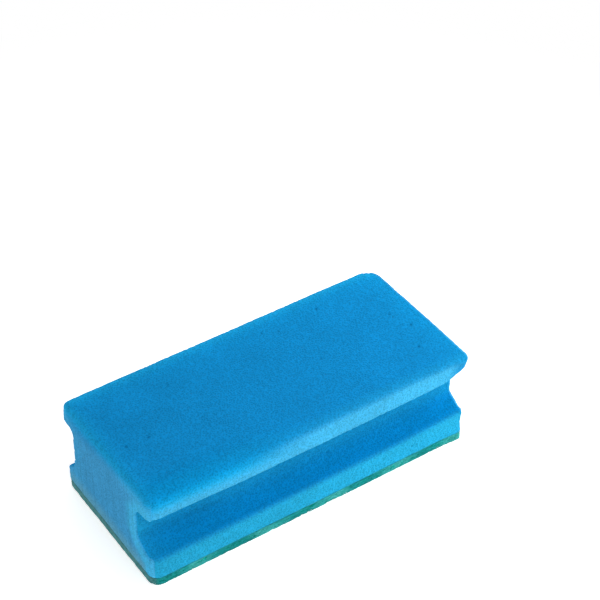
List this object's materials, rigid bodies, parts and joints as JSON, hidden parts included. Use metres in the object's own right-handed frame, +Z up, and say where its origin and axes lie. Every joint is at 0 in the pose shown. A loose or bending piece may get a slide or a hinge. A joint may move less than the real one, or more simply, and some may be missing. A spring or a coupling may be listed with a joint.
{
  "type": "hand wiping sponge with scouring pad",
  "caption": "Foam hand sponge for wiping boards, waisted by a grip groove along each long side, with a non-woven scouring pad bonded under it.",
  "frame": {"origin": "centre of the scouring pad's working face, which lies on z = 0", "axes": "+X along the block, +Y across it from lip to lip, +Z up from the scouring pad to the foam's wiping face"},
  "size_m": [0.14, 0.062, 0.0435],
  "materials": {
    "foam": "open-cell flexible polyurethane foam, mid blue, knife cut and matt",
    "adhesive": "cured laminating adhesive, pale amber, satin",
    "scouring_fleece": "resin-bonded non-woven of crimped fibres, sea green, matt with a faint resin glint"
  },
  "bodies": {
    "root": {"foam_block": "foam", "adhesive_film": "adhesive", "scouring_pad": "scouring_fleece"}
  },
  "joints": []
}
